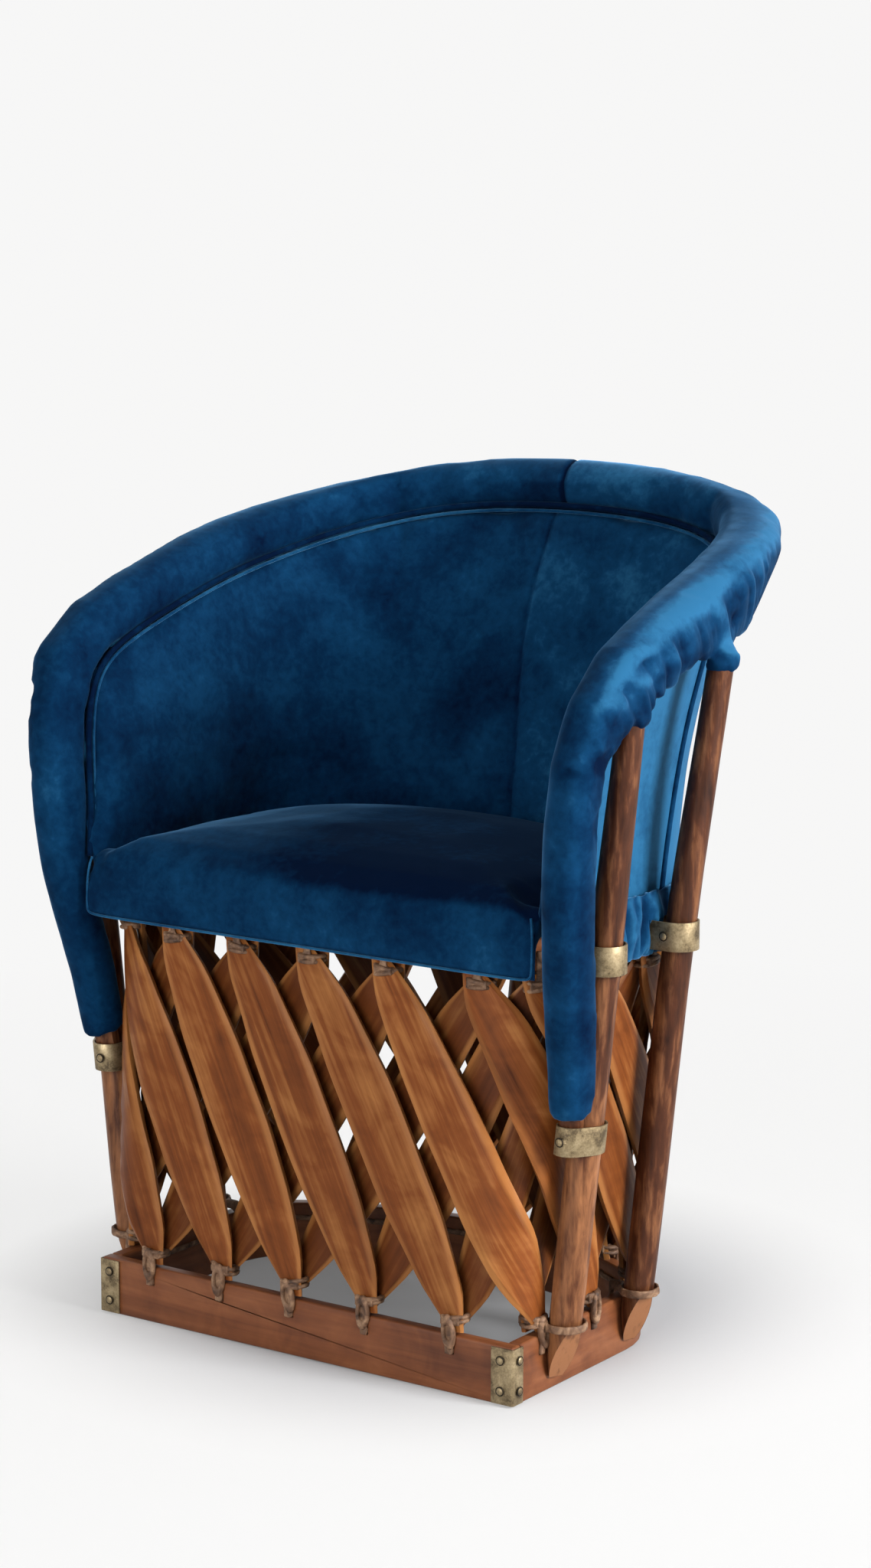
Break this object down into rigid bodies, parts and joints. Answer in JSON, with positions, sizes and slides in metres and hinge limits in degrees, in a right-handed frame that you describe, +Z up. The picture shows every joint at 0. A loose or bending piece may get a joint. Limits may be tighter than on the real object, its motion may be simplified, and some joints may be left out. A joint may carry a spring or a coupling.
{
  "type": "equipale chair",
  "caption": "Barrel chair of laced crossing cedar slats between two hoops, with upright posts, a padded velvet back and arm roll, and a round seat cushion.",
  "frame": {"origin": "middle of the chair's footprint box, on the floor", "axes": "+Z up, front of the chair towards -Y, +X to the right of the chair seen from the front"},
  "size_m": [0.6988, 0.5404, 0.853],
  "materials": {
    "cedar_board": "oiled",
    "cedar_slat": "oiled",
    "cedar_rod": "oiled",
    "leather": "matt",
    "velvet": "cotton velvet",
    "antique_brass": "dull, aged"
  },
  "bodies": {
    "root": {"base_front_board": "cedar_board", "base_rear_hoop": "cedar_board", "corner_bracket_left": "antique_brass", "corner_bracket_right": "antique_brass", "outer_slat_01": "cedar_slat", "outer_slat_02": "cedar_slat", "outer_slat_03": "cedar_slat", "outer_slat_04": "cedar_slat", "outer_slat_05": "cedar_slat", "outer_slat_06": "cedar_slat", "outer_slat_07": "cedar_slat", "outer_slat_08": "cedar_slat", "outer_slat_09": "cedar_slat", "outer_slat_10": "cedar_slat", "outer_slat_11": "cedar_slat", "outer_slat_12": "cedar_slat", "outer_slat_13": "cedar_slat", "outer_slat_14": "cedar_slat", "outer_slat_15": "cedar_slat", "outer_slat_16": "cedar_slat", "inner_slat_01": "cedar_slat", "inner_slat_02": "cedar_slat", "inner_slat_03": "cedar_slat", "inner_slat_04": "cedar_slat", "inner_slat_05": "cedar_slat", "inner_slat_06": "cedar_slat", "inner_slat_07": "cedar_slat", "inner_slat_08": "cedar_slat", "inner_slat_09": "cedar_slat", "inner_slat_10": "cedar_slat", "inner_slat_11": "cedar_slat", "inner_slat_12": "cedar_slat", "inner_slat_13": "cedar_slat", "inner_slat_14": "cedar_slat", "inner_slat_15": "cedar_slat", "inner_slat_16": "cedar_slat", "seat_hoop": "cedar_board", "front_post_left": "cedar_rod", "front_post_right": "cedar_rod", "rear_post_left": "cedar_rod", "rear_post_right": "cedar_rod", "back_post": "cedar_rod", "arm_rail": "cedar_rod", "bottom_lacing": "leather", "top_lacing": "leather", "arm_band_left": "antique_brass", "arm_band_right": "antique_brass", "front_seat_strap_left": "antique_brass", "front_seat_strap_right": "antique_brass", "rear_seat_strap_left": "antique_brass", "rear_seat_strap_right": "antique_brass", "back_seat_strap": "antique_brass", "roll_cover": "velvet", "inner_back_panel": "velvet", "outer_back_panel": "velvet", "roll_piping": "velvet", "seat_sling": "leather", "seat_pad": "velvet", "seat_apron": "velvet"}
  },
  "joints": []
}
